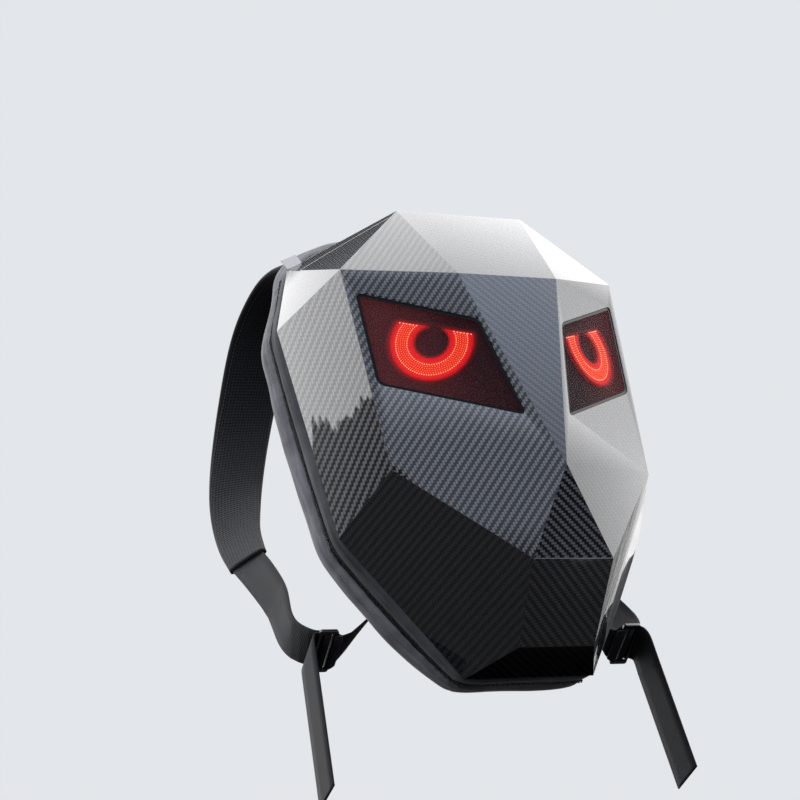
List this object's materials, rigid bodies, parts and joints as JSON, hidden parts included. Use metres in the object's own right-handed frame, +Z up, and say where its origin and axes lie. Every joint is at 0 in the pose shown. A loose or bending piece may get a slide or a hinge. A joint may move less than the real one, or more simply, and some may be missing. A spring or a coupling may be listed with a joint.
{
  "type": "led display backpack",
  "caption": "Hard-shell motorcycle backpack with a faceted carbon-look front, lit ring displays behind two slanted windows, a zipped cloth band, a padded back and shoulder straps.",
  "frame": {"origin": "middle of the back panel's flat face that lies on the wearer's back, where the pack is held up as worn", "axes": "+Z up along the spine, +Y towards the wearer, -Y the way the hard shell looks, +X the wearer's right"},
  "size_m": [0.3438, 0.4105, 0.594],
  "materials": {
    "shell_carbon": "black carbon-look twill under a clear gloss coat",
    "lens_smoked": "smoked maroon glossy window",
    "housing_plastic": "matt black moulding",
    "led_light": "lit red diodes",
    "band_cloth": "dark grey woven nylon",
    "roll_cloth": "grey woven nylon, lightly worn",
    "zip_black": "black coil",
    "padding_mesh": "black spacer mesh over foam",
    "webbing": "ribbed grey-black webbing",
    "buckle_plastic": "black moulded slider",
    "label_cloth": "pale blank woven label"
  },
  "bodies": {
    "root": {"shell": "shell_carbon", "lens_left": "lens_smoked", "lens_right": "lens_smoked", "led_housing_left": "housing_plastic", "led_housing_right": "housing_plastic", "led_ring_left": "led_light", "led_ring_right": "led_light", "zip_cover": "band_cloth", "zip_coil": "zip_black", "edge_roll": "roll_cloth", "gusset": "band_cloth", "back_panel": "padding_mesh", "shoulder_strap_left": "padding_mesh", "shoulder_strap_right": "padding_mesh", "anchor_tab_left": "webbing", "anchor_tab_right": "webbing", "slider_buckle_left": "buckle_plastic", "slider_buckle_right": "buckle_plastic", "lower_webbing_left": "webbing", "lower_webbing_right": "webbing", "side_label": "label_cloth"}
  },
  "joints": []
}
